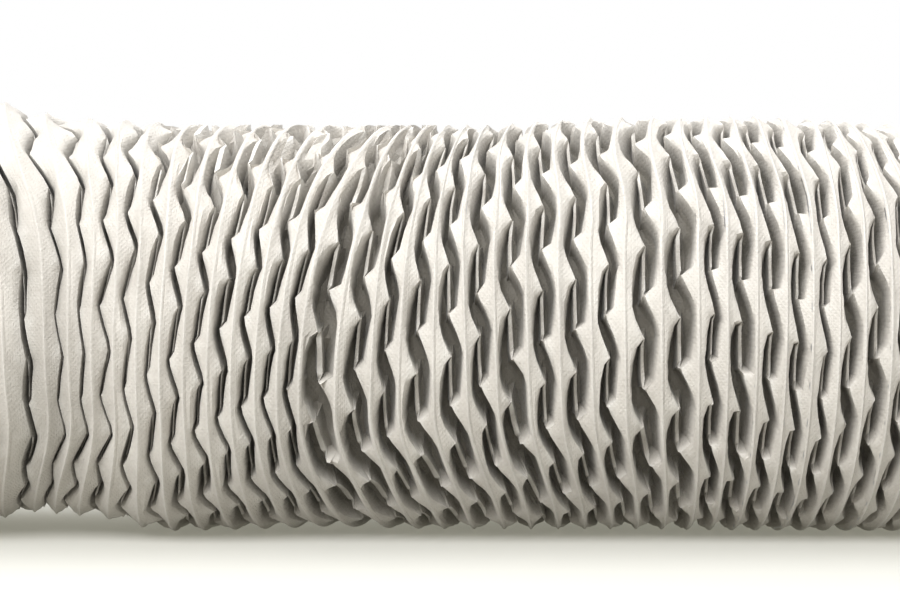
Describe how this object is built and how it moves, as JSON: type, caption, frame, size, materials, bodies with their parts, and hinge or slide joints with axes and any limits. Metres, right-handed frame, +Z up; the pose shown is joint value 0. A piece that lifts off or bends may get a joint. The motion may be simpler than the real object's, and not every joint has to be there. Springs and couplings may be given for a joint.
{
  "type": "flexible ventilation hose",
  "caption": "Flexible ventilation hose of creased film on a spring wire helix, lying pushed together, with plain open ends that slip over round spigots.",
  "frame": {"origin": "on the floor under the middle of the hose, midway between its two cut ends", "axes": "+X along the hose, +Z up from the floor, the side shown in the picture faces -Y"},
  "size_m": [0.316, 0.106, 0.106],
  "materials": {
    "film": "matt, finely grained coated cloth",
    "wire": "drawn spring wire"
  },
  "bodies": {
    "root": {"duct_film": "film", "wire_helix": "wire"}
  },
  "joints": []
}
